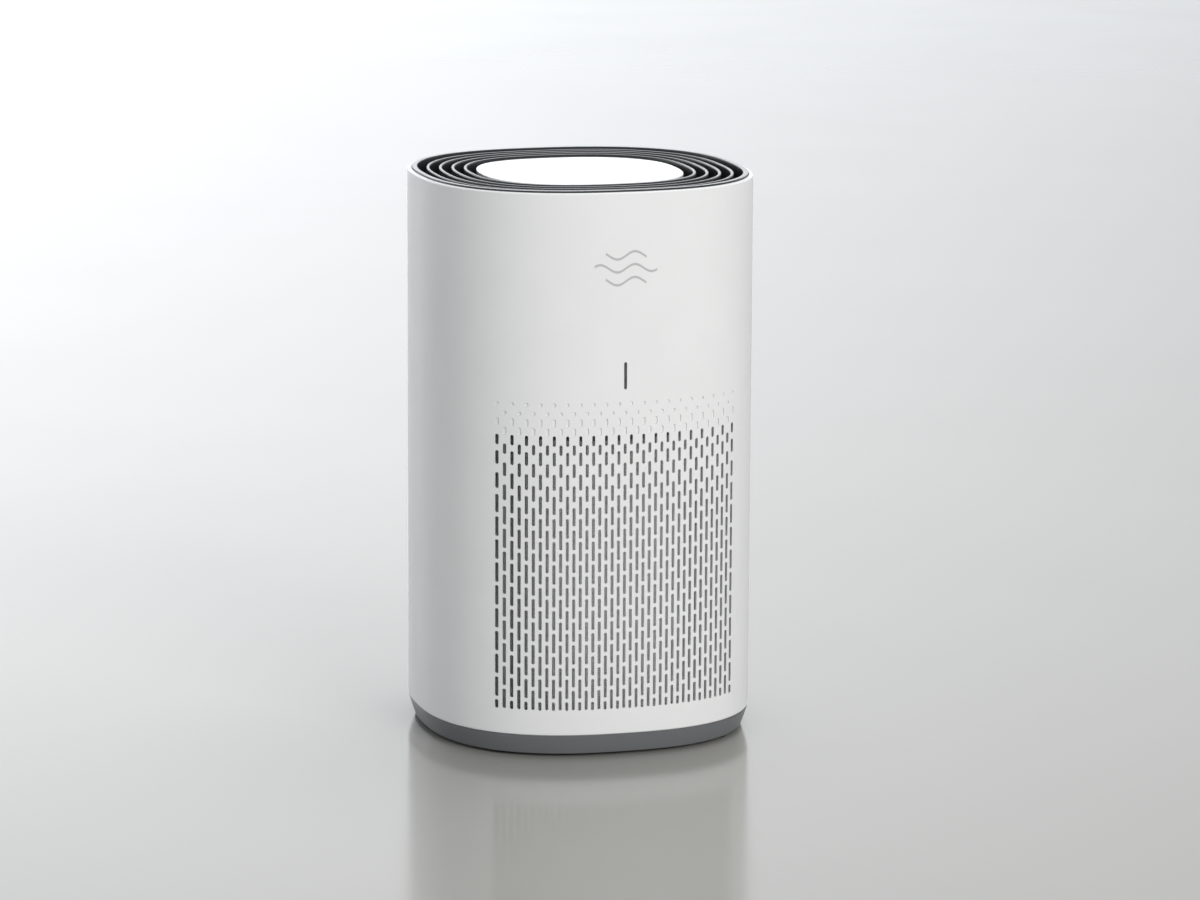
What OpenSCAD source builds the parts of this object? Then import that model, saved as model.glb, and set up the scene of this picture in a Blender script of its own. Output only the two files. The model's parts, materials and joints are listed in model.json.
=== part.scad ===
// Tower air purifier: a rounded-square body that draws air through slotted front and rear walls
// into a cylindrical filter, and blows it up past a fan and out of a ring grille on top.
// The front faces -Y. The origin is on the ground, under the centre of the body.

/* [Body] */
// Width and depth of the rounded-square body
body_w = 212; // [206:1:224]
// Overall height, with the feet
body_h = 356; // [350:1:366]
// Squareness of the plan: 2 is a circle, and a higher number is squarer
squareness = 2.46; // [2.3:0.02:2.7]
// Wall of the outer shell
shell_wall = 2.6; // [2.2:0.1:2.8]
// Height of the top of the plinth, where the shell starts
plinth_h = 14.4; // [14:0.1:15]
// How far the plinth is drawn in at the floor
plinth_inset = 4.1; // [2:0.1:5]
// How far the feet stand below the plinth
foot_drop = 1.8; // [1.2:0.1:2]

/* [Slotted walls] */
// Width of one slot
slot_w = 1.9; // [1.4:0.1:2.4]
// Length of a full slot
slot_len = 12.4; // [10:0.1:13]
// Spacing of the slot columns
column_pitch = 4; // [3.6:0.1:4.1]
// Spacing of the slots in one column
slot_pitch = 14.54; // [14:0.02:14.6]
// Spacing of the short slots in the fading top rows
fade_pitch = 11.3; // [10:0.1:12]
// Lowest edge of the slot field
field_bottom = 30.4; // [30:0.1:33]

/* [Top grille] */
// Width of the rim round the top
rim_w = 3.1; // [2.5:0.1:4]
// Width of one ring
ring_w = 2; // [1.4:0.1:2.4]
// Number of rings
ring_count = 4; // [3:1:5]
// How far the rings lie below the rim
ring_drop = 0.7; // [0.3:0.1:2]
// Width of the control panel
panel_w = 127.2; // [118:0.2:130]
// How far the control panel lies below the rim
panel_drop = 1.5; // [1:0.1:2.5]

/* [Filter] */
// Outer diameter of the filter
filter_d = 160; // [150:1:160]
// Inner diameter of the filter's end caps
filter_bore = 104; // [96:1:106]
// Number of pleats in the filter paper
pleats = 60; // [40:2:80]

/* [Fan] */
// Diameter of the impeller
impeller_d = 138; // [126:1:142]
// Number of impeller blades
blades = 9; // [7:1:13]
// Number of guide vanes above the impeller
vanes = 9; // [5:1:11]
// Diameter of the motor
motor_d = 60; // [52:1:64]
// Diameter of the motor shaft
shaft_d = 8; // [6:0.5:8]

/* [Bottom cover] */
// Diameter of the twist-off cover
cover_d = 171.4; // [170:0.2:171.6]
// Width of the grip bar
grip_w = 14; // [12:1:16]

/* [Hidden] */
$fn = 64;

// How far a cut runs past what it cuts, and the play of a loose fit
over = 1;
fit = 0.1;

// Plan and walls
outline_steps = 120;
half_w = body_w / 2;
inner_half = half_w - shell_wall;
fit_gap = 0.5;
drop_in_half = inner_half - fit_gap;
top_reveal = 1.1;
shell_top = body_h - top_reveal;

// Slots: rows 0 and 1 interlock, and the top ones are short and do not go through
column_count = 39;
blind_rows = 4;
last_row = 28;
fade_rows = 6;
fade_top = 223.5;
short_slots = [2.2, 4.6, 6.5, 8.6, 10, 11.6];
blind_depth = 0.8;

// Base, feet and posts
floor_z = foot_drop;
floor_t = 4;
reveal_h = 1;
reveal_in = 1;
step_root = 1.2;
taper_h = plinth_h - reveal_h - floor_z;
taper_top = half_w - plinth_inset + plinth_inset * (taper_h + step_root) / taper_h;
upstand_top = 24;
upstand_wall = 2.4;
foot_r = 7;
foot_recess = 1.2;
post_at = 70.5;
post_r = 4.5;
post_wall = 1.5;
post_socket = 4;
screw_r = 1.6;
thread_r = screw_r - 0.35;
pilot_r = screw_r - 0.3;
screw_head_r = 3;
screw_head_t = 1.8;

// Bayonet cover and its opening
opening_r = cover_d / 2 + 0.3;
opening_wall = 3;
opening_top = 16;
lug_count = 3;
lug_sweep = 16;
lug_from = 20;
base_lug_z = 8.7;
lug_t = 2.3;
lug_reach = 3;
cover_z = 2.4;
cover_t = 3;
cover_wall_r = opening_r - 3.6;
cover_wall = 2.4;
cover_wall_top = 13.5;
cover_ribs = 6;
rib_t = 2;
pocket_r = 34;
pocket_wall = 2;
pocket_roof = 12.4;

// Filter
seal_t = 3;
filter_z = cover_wall_top + seal_t + 0.3;
cap_t = 6;
deck_z = 205;
deck_t = 3;
filter_top = deck_z - 3.2;
sleeve_z = filter_z + cap_t;
sleeve_h = filter_top - filter_z - 2 * cap_t;
tab_w = 18;
tab_t = 0.8;

// Fan, its housing and the motor
inlet_r = 48;
housing_r = 86;
housing_wall = 2.4;
housing_top = 332;
housing_flange_t = 3;
impeller_z = deck_z + 9;
impeller_back_z = impeller_z + 37;
boss_z = impeller_z + 6;
blade_t = 1.6;
blade_bend_r = 60;
blade_bend_at = [-5.9, -38.7];
bore_play = 0.02;
motor_z = impeller_z + 47;
motor_top = motor_z + 38;
can_wall = 2;
can_end = 8;
bearing_seat_r = 8;
mount_z = motor_top + 0.3;
mount_t = 3.4;
mount_top = mount_z + mount_t;
mount_ring = 2.4;
mount_screws = 3;
mount_screw_at = 22;
vane_h = 20;
vane_low = mount_top - vane_h;
vane_t = 1.8;
vane_lean = 25;
hub_r = 36;
hub_wall = 2;
board_t = 1.6;
board_lift = 7;
board_z = mount_top + board_lift;

// Top grille and control panel
rim_half = inner_half - 0.4;
panel_half = panel_w / 2;
ring_pitch = (rim_half - rim_w - panel_half + ring_w) / (ring_count + 1);
panel_t = 2.5;
panel_z = body_h - panel_drop - panel_t;
rib_z = 340;
rib_h = 5;
rib_count = 12;
tray_t = 2;
tray_spoke_w = 8;
tray_hub_r = 18;
lead_hole_r = 8;
control_z = rib_z + tray_t;

// Indicator, switch, inlet and lead
indicator_z = 241;
indicator_len = 17;
lens_back = 98.6;
lens_flange_t = 2.8;
switch_angle = 15.5;
plunger_ring_r = 83.7;
plunger_r = 1;
inlet_z = 8.1;
inlet_hole_r = 5.2;
lead_r = 2.2;
lead_way_r = lead_r + 0.4;
lead_angle = 118;
lead_at_r = 97;
lead_in_r = 28;
lead_z = mount_z + 16.7;

// Distance from the centre of the plan to its outline, for an outline of half-width 1
function plan_r(t) = pow(pow(abs(cos(t)), squareness) + pow(abs(sin(t)), squareness), -1 / squareness);
function plan_points(s) = [for (i = [0:outline_steps - 1]) let (t = 360 * i / outline_steps)
    s * plan_r(t) * [cos(t), sin(t)]];
// Distance of the front wall's outside from the centre plane, at a column x
function wall_y(x) = half_w * pow(1 - pow(abs(x) / half_w, squareness), 1 / squareness);
function row_z(m) = m < fade_rows ? fade_top - m * fade_pitch / 2
    : fade_top - fade_rows * fade_pitch / 2 - (m - fade_rows) * slot_pitch / 2;
function row_len(m) = m < 2 * len(short_slots) ? short_slots[floor(m / 2)] : slot_len;
function column_x(k) = (k - (column_count - 1) / 2) * column_pitch;

module plan_shape(s) {
    polygon(plan_points(s));
}

module plan_band(outer, inner) {
    difference() {
        plan_shape(outer);
        plan_shape(inner);
    }
}

module tube(outer_r, inner_r, h) {
    difference() {
        cylinder(r = outer_r, h = h);
        translate([0, 0, -over]) cylinder(r = inner_r, h = h + 2 * over);
    }
}

module at_corners(d) {
    for (x = [-d, d], y = [-d, d])
        translate([x, y, 0]) children();
}

module around(count, start = 0) {
    for (i = [0:count - 1])
        rotate([0, 0, start + 360 * i / count]) children();
}

// A curved bar between two radii, swept over an angle
module arc_bar(inner_r, outer_r, sweep, h) {
    rotate([0, 0, -sweep / 2])
        rotate_extrude(angle = sweep)
            translate([inner_r, 0]) square([outer_r - inner_r, h]);
}

// A route's corners rounded off, each by a curve that starts and ends a distance d from the corner
function rounded(route, d) = concat([route[0]], [for (i = [1:len(route) - 2]) for (t = [0:1 / 3:1])
    let (a = route[i] + d * unit(route[i - 1] - route[i]), b = route[i] + d * unit(route[i + 1] - route[i]))
        (1 - t) * (1 - t) * a + 2 * t * (1 - t) * route[i] + t * t * b], [route[len(route) - 1]]);
function unit(v) = v / norm(v);
// The rings of a mitred tube: each is the ring before it, slid along the run onto the next corner's plane
function slid_ring(ring, p, run, n) = [for (v = ring) v + run * ((p - v) * n) / (run * n)];
function run_at(path, i) = unit(path[i] - path[i - 1]);
function mitre_at(path, i) = i == len(path) - 1 ? run_at(path, i)
    : unit(run_at(path, i) + run_at(path, i + 1));
function rings_from(path, i, ring) = i == len(path) ? [ring]
    : concat([ring], rings_from(path, i + 1, slid_ring(ring, path[i], run_at(path, i), mitre_at(path, i))));

// A tube of radius r along a path that starts straight up
module tube_along(path, r, sides = 8) {
    first = [for (k = [0:sides - 1]) path[0] + r * [cos(360 * k / sides), sin(360 * k / sides), 0]];
    rings = rings_from(path, 1, first);
    last = len(rings) - 1;
    polyhedron(
        points = [for (ring = rings) for (v = ring) v],
        faces = concat(
            [[for (k = [0:sides - 1]) k]],
            [for (i = [0:last - 1]) for (k = [0:sides - 1]) let (j = (k + 1) % sides)
                [i * sides + k, (i + 1) * sides + k, (i + 1) * sides + j, i * sides + j]],
            [[for (k = [sides - 1:-1:0]) last * sides + k]]));
}

// One slot of row m, cut straight along Y between two depths
module slot_cut(x, m, y0, y1) {
    low = max(row_z(m) - row_len(m) / 2, field_bottom);
    high = row_z(m) + row_len(m) / 2;
    translate([x, y1, (low + high) / 2])
        rotate([90, 0, 0])
            linear_extrude(y1 - y0) square([slot_w, high - low], center = true);
}

module open_slots() {
    for (k = [0:column_count - 1])
        for (m = [blind_rows:last_row])
            if (m % 2 == k % 2)
                slot_cut(column_x(k), m, -half_w - over, half_w + over);
}

module blind_slots() {
    for (k = [0:column_count - 1])
        for (m = [0:blind_rows - 1])
            if (m % 2 == k % 2)
                slot_cut(column_x(k), m, -half_w - over, blind_depth - wall_y(column_x(k)));
}

module outer_shell() {
    color("white")
        difference() {
            translate([0, 0, plinth_h]) linear_extrude(shell_top - plinth_h) plan_band(half_w, inner_half);
            open_slots();
            blind_slots();
            translate([0, over - inner_half, indicator_z])
                rotate([90, 0, 0])
                    linear_extrude(shell_wall + 2 * over) square([slot_w, indicator_len], center = true);
        }
}

// The base before it is hollowed: a tapered plinth, a recessed line and an upstand inside the shell
module base_block() {
    intersection() {
        translate([0, 0, floor_z])
            linear_extrude(taper_h + step_root, scale = taper_top / (half_w - plinth_inset))
                plan_shape(half_w - plinth_inset);
        cylinder(r = 2 * half_w, h = floor_z + taper_h);
    }
    translate([0, 0, plinth_h - reveal_h - step_root])
        linear_extrude(reveal_h + step_root) plan_shape(half_w - reveal_in);
    translate([0, 0, plinth_h - step_root])
        linear_extrude(upstand_top - plinth_h + step_root) plan_shape(drop_in_half);
}

module base() {
    collar_r = opening_r + opening_wall;
    color("dimgray")
        difference() {
            base_block();
            translate([0, 0, floor_z + floor_t])
                linear_extrude(upstand_top)
                    difference() {
                        plan_shape(drop_in_half - upstand_wall);
                        circle(r = collar_r);
                        at_corners(post_at) circle(r = post_r + post_wall);
                    }
            translate([0, 0, opening_top]) cylinder(r = collar_r + 0.01, h = upstand_top);
            translate([0, 0, upstand_top - post_socket])
                at_corners(post_at) cylinder(r = post_r + fit, h = 2 * post_socket);
            at_corners(post_at) cylinder(r = screw_r + fit, h = 2 * upstand_top, center = true);
            at_corners(post_at) cylinder(r = screw_head_r + 0.2, h = floor_z + foot_recess + 2);
            at_corners(post_at) cylinder(r = foot_r, h = floor_z + foot_recess);
            cylinder(r = opening_r, h = 3 * upstand_top, center = true);
            translate([0, collar_r + 0.6, inlet_z]) rotate([-90, 0, 0]) cylinder(r = inlet_hole_r, h = 30);
        }
    color("dimgray")
        around(lug_count, lug_from)
            translate([0, 0, base_lug_z]) arc_bar(opening_r - lug_reach, opening_r + 0.5, lug_sweep, lug_t);
}

module feet() {
    color("black")
        at_corners(post_at) cylinder(r = foot_r - 0.05, h = foot_drop + foot_recess);
}

module filter_cover() {
    lug_z = base_lug_z + lug_t + 0.3;
    lug_h = cover_wall_top - lug_z - 0.2;
    color("dimgray")
        difference() {
            union() {
                translate([0, 0, cover_z]) cylinder(r = cover_d / 2, h = cover_t);
                translate([0, 0, cover_z])
                    tube(cover_wall_r, cover_wall_r - cover_wall, cover_wall_top - cover_z);
                translate([0, 0, cover_z])
                    cylinder(r = pocket_r + pocket_wall, h = pocket_roof + pocket_wall - cover_z);
                around(cover_ribs, 15)
                    translate([pocket_r + 1, -rib_t / 2, cover_z])
                        cube([cover_wall_r - pocket_r - 2, rib_t, cover_wall_top - cover_z - 0.5]);
                around(lug_count, lug_from)
                    translate([0, 0, lug_z])
                        arc_bar(cover_wall_r - 1, opening_r - 0.6, lug_sweep - 4, lug_h);
            }
            difference() {
                translate([0, 0, cover_z - over]) cylinder(r = pocket_r, h = pocket_roof - cover_z + over);
                translate([-grip_w / 2, -pocket_r - over, cover_z])
                    cube([grip_w, 2 * (pocket_r + over), pocket_roof]);
            }
        }
}

module cover_seal() {
    color("gray")
        translate([0, 0, cover_wall_top]) tube(filter_d / 2 - 0.5, filter_bore / 2 + 4, seal_t);
}

module filter_bottom_cap() {
    color("gray")
        translate([0, 0, filter_z]) tube(filter_d / 2, filter_bore / 2, cap_t);
}

module filter_top_cap() {
    color("gray")
        translate([0, 0, filter_top - cap_t]) tube(filter_d / 2, filter_bore / 2, cap_t);
}

module prefilter_sleeve() {
    color("darkgray")
        translate([0, 0, sleeve_z]) tube(filter_d / 2 - 1, filter_d / 2 - 2, sleeve_h);
}

// A star of folds between two radii
module zigzag(outer_r, inner_r) {
    steps = 2 * pleats;
    polygon([for (i = [0:steps - 1]) (i % 2 == 0 ? outer_r : inner_r)
        * [cos(360 * i / steps), sin(360 * i / steps)]]);
}

module filter_paper() {
    outer_r = filter_d / 2 - 2.5;
    inner_r = filter_bore / 2 + 5;
    fold_t = 1.8;
    color("ivory")
        translate([0, 0, sleeve_z])
            linear_extrude(sleeve_h)
                difference() {
                    zigzag(outer_r, inner_r + fold_t);
                    zigzag(outer_r - fold_t, inner_r);
                }
}

module carbon_sleeve() {
    color("black")
        translate([0, 0, sleeve_z]) tube(filter_bore / 2 + 4, filter_bore / 2 + 1, sleeve_h);
}

module pull_tab() {
    color("silver")
        translate([-tab_w / 2, -filter_bore / 2 - 2, filter_z - tab_t]) cube([tab_w, filter_bore + 4, tab_t]);
}

// A round way for the lead, where it goes up through a floor
module lead_up() {
    rotate([0, 0, lead_angle])
        translate([lead_at_r, 0, 0]) cylinder(r = lead_way_r, h = 2 * deck_z);
}

// A round way for the lead, where it goes in through the walls to the board
module lead_in() {
    rotate([0, 0, lead_angle])
        translate([lead_in_r, 0, lead_z])
            rotate([0, 90, 0]) cylinder(r = lead_way_r, h = lead_at_r - lead_in_r);
}

module fan_deck() {
    color("white")
        difference() {
            union() {
                translate([0, 0, deck_z]) linear_extrude(deck_t) plan_shape(drop_in_half);
                translate([0, 0, deck_z]) cylinder(r = inlet_r + 2, h = 10.4);
            }
            translate([0, 0, deck_z - over]) cylinder(r = inlet_r, h = 20);
            at_corners(post_at) cylinder(r = screw_r, h = 3 * deck_z);
            lead_up();
        }
}

module deck_seal() {
    color("gray")
        translate([0, 0, filter_top]) tube(filter_d / 2 - 0.5, filter_bore / 2, deck_z - filter_top);
}

module deck_posts() {
    pilot_h = 24;
    color("gray")
        at_corners(post_at)
            difference() {
                translate([0, 0, upstand_top - post_socket])
                    cylinder(r = post_r, h = deck_z - upstand_top + post_socket);
                translate([0, 0, upstand_top - post_socket - over]) cylinder(r = pilot_r, h = pilot_h);
                translate([0, 0, deck_z - 16]) cylinder(r = pilot_r, h = pilot_h);
            }
}

module fan_housing() {
    low = deck_z + deck_t;
    color("white")
        difference() {
            union() {
                translate([0, 0, low]) linear_extrude(housing_flange_t) plan_shape(drop_in_half);
                translate([0, 0, low]) cylinder(r = housing_r + housing_wall, h = housing_top - low);
                translate([0, 0, housing_top - housing_flange_t])
                    linear_extrude(housing_flange_t) plan_shape(drop_in_half);
                translate([-7, -95.5, indicator_z - 12]) cube([14, 20, 24]);
            }
            difference() {
                translate([0, 0, low - over]) cylinder(r = housing_r, h = housing_top);
                translate([0, 0, vane_low - 3]) tube(housing_r + 1, housing_r - 2, 3);
            }
            at_corners(post_at) cylinder(r = screw_r + fit, h = 2 * housing_top);
            intersection() {
                lead_up();
                cylinder(r = 2 * half_w, h = low + 10);
            }
            lead_in();
        }
}

// A backward-curved blade, to be trimmed between the eye and the rim of the impeller
module blade_2d() {
    intersection() {
        translate(blade_bend_at)
            difference() {
                circle(r = blade_bend_r + blade_t / 2);
                circle(r = blade_bend_r - blade_t / 2);
            }
        translate([0, -impeller_d / 2]) square([impeller_d / 2, impeller_d / 2 + 10]);
    }
}

module impeller() {
    color("lightgray")
        difference() {
            union() {
                translate([0, 0, impeller_back_z]) cylinder(r = impeller_d / 2, h = 2.5);
                translate([0, 0, impeller_z]) tube(impeller_d / 2, inlet_r + 3, 2.2);
                translate([0, 0, boss_z]) cylinder(r = 12, h = impeller_back_z - impeller_z);
                intersection() {
                    translate([0, 0, impeller_z + 2])
                        linear_extrude(impeller_back_z - impeller_z - 1)
                            around(blades) blade_2d();
                    translate([0, 0, impeller_z]) tube(impeller_d / 2 - 0.5, inlet_r - 8, 50);
                }
            }
            cylinder(r = shaft_d / 2 + bore_play, h = 2 * body_h);
        }
}

module motor_shaft() {
    color("silver")
        translate([0, 0, boss_z]) cylinder(r = shaft_d / 2, h = motor_top + 2 - boss_z);
}

module motor_rotor() {
    color("darkslategray")
        translate([0, 0, motor_z + 9])
            difference() {
                cylinder(r = motor_d / 4, h = 20);
                translate([0, 0, -over]) cylinder(r = shaft_d / 2 + bore_play, h = 30);
            }
}

module motor_stator() {
    coil_gaps = 9;
    outer_r = motor_d / 2 - can_wall - fit;
    inner_r = motor_d / 4 + 0.5;
    stack_h = 22;
    color("peru")
        translate([0, 0, motor_z + 8])
            difference() {
                cylinder(r = outer_r, h = stack_h);
                translate([0, 0, -over]) cylinder(r = inner_r, h = stack_h + 2 * over);
                around(coil_gaps)
                    translate([inner_r - over, -1, -over])
                        cube([outer_r - inner_r - 3, 2, stack_h + 2 * over]);
            }
}

module motor_can() {
    color("silver")
        difference() {
            translate([0, 0, motor_z]) cylinder(r = motor_d / 2, h = motor_top - motor_z);
            translate([0, 0, motor_z + can_end])
                cylinder(r = motor_d / 2 - can_wall, h = motor_top - motor_z - 2 * can_end);
            translate([0, 0, motor_z - over]) cylinder(r = bearing_seat_r, h = 2 * motor_d);
        }
}

module motor_bearings() {
    bearing_t = 6;
    color("silver")
        for (z = [motor_z + 1, motor_top - 1 - bearing_t])
            translate([0, 0, z]) tube(bearing_seat_r - bore_play, shaft_d / 2 + 0.03, bearing_t);
}

module motor_mount() {
    color("lightgray")
        difference() {
            union() {
                translate([0, 0, mount_z]) cylinder(r = hub_r, h = mount_t);
                translate([0, 0, vane_low]) tube(housing_r - 0.3, housing_r - 0.3 - mount_ring, vane_h);
                around(vanes)
                    translate([hub_r - 1.2, 0, vane_low])
                        rotate([vane_lean, 0, 0])
                            translate([0, -vane_t / 2, 0])
                                cube([housing_r - hub_r - 0.6, vane_t, vane_h * 0.9]);
                translate([0, 0, vane_low]) tube(hub_r, hub_r - hub_wall, vane_h);
            }
            translate([0, 0, mount_z - over]) cylinder(r = 9, h = 10);
            around(mount_screws, 30) translate([mount_screw_at, 0, mount_z - over]) cylinder(r = 3.2, h = 10);
            translate([0, 0, mount_top]) cylinder(r = housing_r, h = vane_h);
            translate([0, 0, vane_low - mount_t]) cylinder(r = housing_r, h = mount_t);
        }
}

module motor_grommets() {
    color("black")
        around(mount_screws, 30)
            translate([mount_screw_at, 0, motor_top])
                difference() {
                    union() {
                        cylinder(r = 3.1, h = mount_top - motor_top);
                        translate([0, 0, mount_top - motor_top]) cylinder(r = 4.6, h = 1.2);
                    }
                    translate([0, 0, -over]) cylinder(r = 1.6, h = 10);
                }
}

module motor_screws() {
    color("silver")
        around(mount_screws, 30)
            translate([mount_screw_at, 0, mount_top + 1.2]) {
                cylinder(r = screw_head_r, h = screw_head_t);
                translate([0, 0, -4]) cylinder(r = 1.5, h = 4);
            }
}

module board_cover() {
    wall = 2;
    height = 20;
    color("lightgray")
        difference() {
            translate([0, 0, mount_top]) cylinder(r = hub_r, h = height);
            translate([0, 0, mount_top - over]) cylinder(r = hub_r - wall, h = height - wall + over);
            translate([0, 0, mount_top]) cylinder(r = lead_way_r, h = 2 * height);
            lead_in();
        }
    color("lightgray")
        around(3, 90)
            translate([28, 0, mount_top]) cylinder(r = 2.5, h = board_lift);
}

module main_board() {
    color("green")
        translate([0, 0, board_z]) {
            cylinder(r = hub_r - 3, h = board_t);
            translate([-20, -14, board_t]) cube([14, 10, 8]);
            translate([10, 4, board_t]) cube([10, 12, 3]);
            translate([8, -16, board_t]) cylinder(r = 4, h = 8);
            translate([-16, 12, board_t]) cube([12, 8, 6]);
        }
}

module signal_lead() {
    color("black")
        translate([0, 0, board_z + board_t])
            cylinder(r = lead_r - 0.4, h = control_z - board_z);
}

// The rings of the grille, each lower than the rim
module grille_rings() {
    for (i = [1:ring_count])
        translate([0, 0, rib_z + 1])
            linear_extrude(body_h - ring_drop - rib_z - 1)
                plan_band(rim_half - rim_w - i * ring_pitch + ring_w, rim_half - rim_w - i * ring_pitch);
}

// The panel's tray: a wall round it, and spokes to a hub under it
module grille_tray() {
    translate([0, 0, rib_z])
        linear_extrude(panel_z - rib_z) plan_band(panel_half - 0.2, panel_half - 3);
    translate([0, 0, rib_z])
        linear_extrude(tray_t)
            intersection() {
                plan_shape(panel_half - 1);
                union() {
                    around(rib_count / 2) square([2 * half_w, tray_spoke_w], center = true);
                    circle(r = tray_hub_r);
                }
            }
}

// The lugs at the foot of the rim that take the four screws
module grille_feet() {
    translate([0, 0, housing_top])
        linear_extrude(8)
            intersection() {
                at_corners(post_at) circle(r = 5);
                plan_shape(rim_half - 0.5);
            }
    translate([0, 0, housing_top])
        linear_extrude(4)
            intersection() {
                around(4, 45) translate([70, -4]) square([44, 8]);
                plan_band(rim_half - 0.5, panel_half + 34);
            }
}

module top_grille() {
    color("gray")
        difference() {
            union() {
                translate([0, 0, housing_top])
                    linear_extrude(body_h - housing_top) plan_band(rim_half, rim_half - rim_w);
                grille_rings();
                grille_tray();
                translate([0, 0, rib_z])
                    linear_extrude(rib_h)
                        intersection() {
                            plan_band(rim_half - 1, panel_half - 2);
                            around(rib_count / 2, 15) square([3 * half_w, rib_t], center = true);
                        }
                grille_feet();
            }
            at_corners(post_at) translate([0, 0, housing_top - over]) cylinder(r = pilot_r, h = 8);
            translate([0, 0, housing_top]) cylinder(r = lead_hole_r, h = 40);
        }
}

module control_panel() {
    color("white")
        translate([0, 0, panel_z]) linear_extrude(panel_t) plan_shape(panel_half);
}

module control_board() {
    color("green")
        translate([0, 0, control_z]) {
            linear_extrude(board_t)
                difference() {
                    plan_shape(44);
                    circle(r = lead_hole_r);
                }
            translate([14, -24, board_t]) cube([10, 10, 2]);
            translate([-28, 8, board_t]) cube([12, 6, 4]);
        }
}

module touch_springs() {
    color("gold")
        for (x = [-32, -16, 16, 32])
            translate([x, 0, control_z + board_t]) tube(3, 2.3, panel_z - control_z - board_t);
}

module indicator_lens() {
    flange = [6, lens_flange_t, 21];
    color("darkslategray") {
        translate([0, over - lens_back - lens_flange_t, indicator_z])
            rotate([90, 0, 0])
                linear_extrude(half_w - lens_back - 1.9)
                    square([slot_w - fit, indicator_len - fit], center = true);
        translate([-flange.x / 2, -lens_back - lens_flange_t, indicator_z - flange.z / 2]) cube(flange);
    }
}

module indicator_board() {
    board = [13, board_t, 23];
    lamp = 2.4;
    color("green") {
        translate([-board.x / 2, -97.1, indicator_z - board.z / 2]) cube(board);
        for (z = [-6, 0, 6])
            translate([-lamp / 2, -98.5, indicator_z + z - lamp / 2]) cube([lamp, 1.5, lamp]);
    }
}

module dust_sensor() {
    color("black")
        rotate([0, 0, 135])
            translate([89, -15, deck_z + 14])
                difference() {
                    cube([12.5, 30, 36]);
                    translate([6, 11, 6]) cube([10, 8, 24]);
                }
}

module dc_inlet() {
    color("black")
        translate([0, 0, inlet_z]) {
            difference() {
                union() {
                    translate([0, 92.4, 0]) rotate([-90, 0, 0]) cylinder(r = 5, h = 10.6);
                    translate([-4.8, 90.4, -2]) cube([9.6, 3, 6.8]);
                }
                translate([0, 93.6, 0]) rotate([-90, 0, 0]) cylinder(r = 2.9, h = 20);
            }
            translate([0, 92.6, 0]) rotate([-90, 0, 0]) cylinder(r = 1, h = 9.4);
        }
}

// The lead's way from the inlet, up behind the filter and in over the motor mount
lead_dir = [cos(lead_angle), sin(lead_angle), 0];
power_route = [[0, 91.9, 13.1], [0, 91.9, 19], [-20, 93, 22], lead_at_r * lead_dir + [0, 0, 34],
    lead_at_r * lead_dir + [0, 0, lead_z], 30 * lead_dir + [0, 0, lead_z]];

module power_lead() {
    color("black") tube_along(rounded(power_route, 3), lead_r);
}

module filter_switch() {
    color("black")
        rotate([0, 0, switch_angle])
            difference() {
                translate([81.5, -6, opening_top]) cube([10.5, 12, 11]);
                translate([plunger_ring_r, 0, 0]) cylinder(r = plunger_r + fit, h = 28);
            }
}

module switch_plunger() {
    color("white")
        rotate([0, 0, switch_angle])
            translate([plunger_ring_r, 0, cover_wall_top + 0.3]) cylinder(r = plunger_r, h = 12);
}

module base_screws() {
    color("silver")
        at_corners(post_at)
            translate([0, 0, floor_z + foot_recess + fit]) {
                cylinder(r = screw_head_r, h = screw_head_t);
                cylinder(r = thread_r, h = 30);
            }
}

module deck_screws() {
    color("silver")
        at_corners(post_at)
            translate([0, 0, deck_z + deck_t + housing_flange_t]) {
                cylinder(r = screw_head_r, h = screw_head_t);
                translate([0, 0, -18]) cylinder(r = thread_r, h = 18);
            }
}

module grille_screws() {
    color("silver")
        at_corners(post_at)
            translate([0, 0, housing_top - housing_flange_t - screw_head_t]) {
                cylinder(r = screw_head_r, h = screw_head_t);
                cylinder(r = thread_r, h = 9);
            }
}

outer_shell();
base();
feet();
filter_cover();
cover_seal();
filter_bottom_cap();
filter_top_cap();
prefilter_sleeve();
filter_paper();
carbon_sleeve();
pull_tab();
fan_deck();
deck_seal();
deck_posts();
fan_housing();
impeller();
motor_shaft();
motor_rotor();
motor_stator();
motor_can();
motor_bearings();
motor_mount();
motor_grommets();
motor_screws();
main_board();
board_cover();
signal_lead();
top_grille();
control_panel();
control_board();
touch_springs();
indicator_lens();
indicator_board();
dust_sensor();
dc_inlet();
power_lead();
filter_switch();
switch_plunger();
base_screws();
deck_screws();
grille_screws();
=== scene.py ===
"""The looks of the tower air purifier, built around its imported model. Metres, front faces -Y."""

import json
import math

import bpy
from mathutils import Matrix, Vector


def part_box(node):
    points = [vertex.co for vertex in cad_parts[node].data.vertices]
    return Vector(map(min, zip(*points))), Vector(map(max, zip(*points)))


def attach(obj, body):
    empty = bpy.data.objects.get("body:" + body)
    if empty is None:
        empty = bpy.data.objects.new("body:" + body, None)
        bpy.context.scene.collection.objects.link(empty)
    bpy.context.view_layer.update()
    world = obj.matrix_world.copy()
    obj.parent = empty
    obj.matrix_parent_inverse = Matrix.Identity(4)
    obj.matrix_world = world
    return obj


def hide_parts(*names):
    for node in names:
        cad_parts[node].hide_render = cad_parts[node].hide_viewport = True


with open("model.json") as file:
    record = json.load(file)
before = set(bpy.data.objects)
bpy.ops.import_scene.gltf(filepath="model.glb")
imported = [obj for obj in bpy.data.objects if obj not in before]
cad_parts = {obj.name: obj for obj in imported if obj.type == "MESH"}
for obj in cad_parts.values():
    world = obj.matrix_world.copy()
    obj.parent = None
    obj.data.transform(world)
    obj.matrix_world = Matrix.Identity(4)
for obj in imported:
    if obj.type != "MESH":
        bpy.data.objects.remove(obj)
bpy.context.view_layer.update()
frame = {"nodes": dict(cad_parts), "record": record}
nodes = frame["nodes"]
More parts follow.
